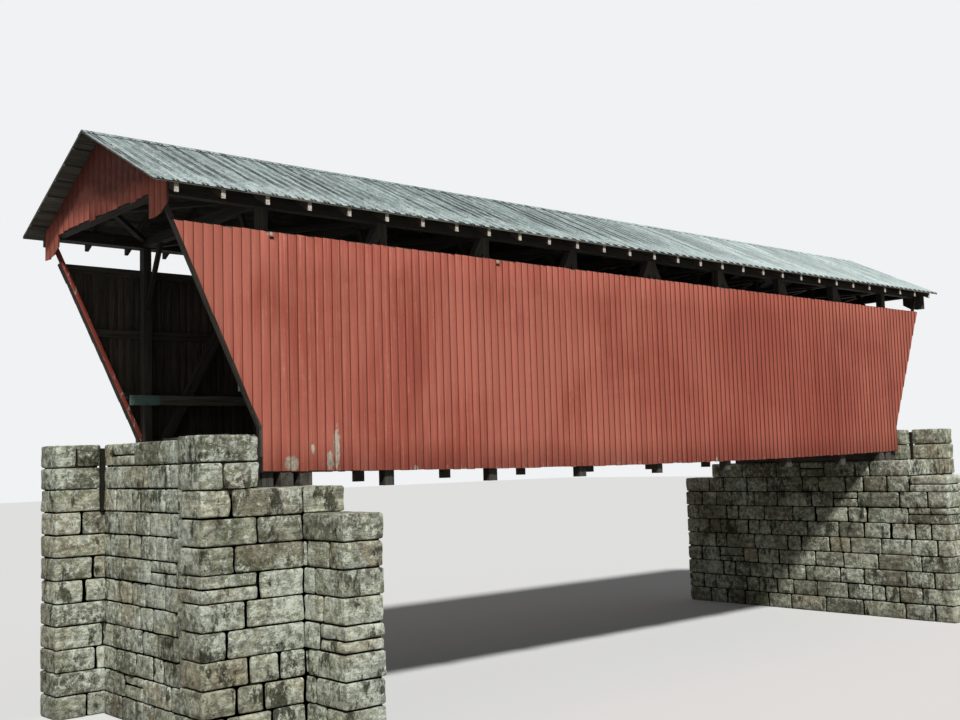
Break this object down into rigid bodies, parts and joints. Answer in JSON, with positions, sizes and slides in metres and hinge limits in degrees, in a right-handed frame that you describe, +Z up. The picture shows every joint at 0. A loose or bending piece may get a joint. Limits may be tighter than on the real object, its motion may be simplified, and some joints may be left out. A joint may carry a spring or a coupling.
{
  "type": "covered bridge",
  "caption": "Single-lane timber covered bridge with red vertical board walls, slanted portals, a corrugated gable roof and stone abutments.",
  "frame": {"origin": "on the ground under the middle of the span", "axes": "+X along the roadway towards the right-hand portal, +Y across the bridge to the far side, +Z up"},
  "size_m": [24.2008, 8.6, 10.3865],
  "materials": {
    "red_boards": "faded barn-red paint on rough vertical boards, worn to grey at the edges",
    "frame_timber": "dark weathered rough-sawn timber",
    "floor_timber": "dark damp-stained timber",
    "deck_timber": "grey worn planks with dust in the gaps",
    "rail_timber": "rubbed grey-brown plank with faded teal paint at its ends",
    "rafter_timber": "pale sawn timber",
    "roof_board_timber": "brown-grey sawn boards",
    "galvanised_sheet": "dull weathered galvanised sheet with grey-green stains",
    "stone": "coursed sandstone with moss and dark open joints"
  },
  "bodies": {
    "root": {"left_breast_wall": "stone", "left_back_wall": "stone", "left_near_wing": "stone", "left_far_wing": "stone", "right_breast_wall": "stone", "right_back_wall": "stone", "right_near_wing": "stone", "right_far_wing": "stone", "left_bed_timbers": "frame_timber", "right_bed_timbers": "frame_timber", "near_bottom_chord": "frame_timber", "far_bottom_chord": "frame_timber", "near_top_chord": "frame_timber", "far_top_chord": "frame_timber", "near_truss_posts": "frame_timber", "far_truss_posts": "frame_timber", "near_truss_braces": "frame_timber", "far_truss_braces": "frame_timber", "near_portal_struts": "frame_timber", "far_portal_struts": "frame_timber", "floor_beams": "floor_timber", "floor_stringers": "floor_timber", "deck_planks": "deck_timber", "runner_planks": "deck_timber", "near_guard_rail": "rail_timber", "far_guard_rail": "rail_timber", "tie_beams": "frame_timber", "near_knee_braces": "frame_timber", "far_knee_braces": "frame_timber", "upper_lateral_braces": "frame_timber", "left_portal_header": "frame_timber", "right_portal_header": "frame_timber", "near_rafters": "rafter_timber", "far_rafters": "rafter_timber", "near_roof_boards": "roof_board_timber", "far_roof_boards": "roof_board_timber", "near_roof_sheets": "galvanised_sheet", "far_roof_sheets": "galvanised_sheet", "ridge_cap": "galvanised_sheet", "near_siding_frame": "frame_timber", "far_siding_frame": "frame_timber", "near_siding": "red_boards", "far_siding": "red_boards", "left_gable_boards": "red_boards", "right_gable_boards": "red_boards"}
  },
  "joints": []
}
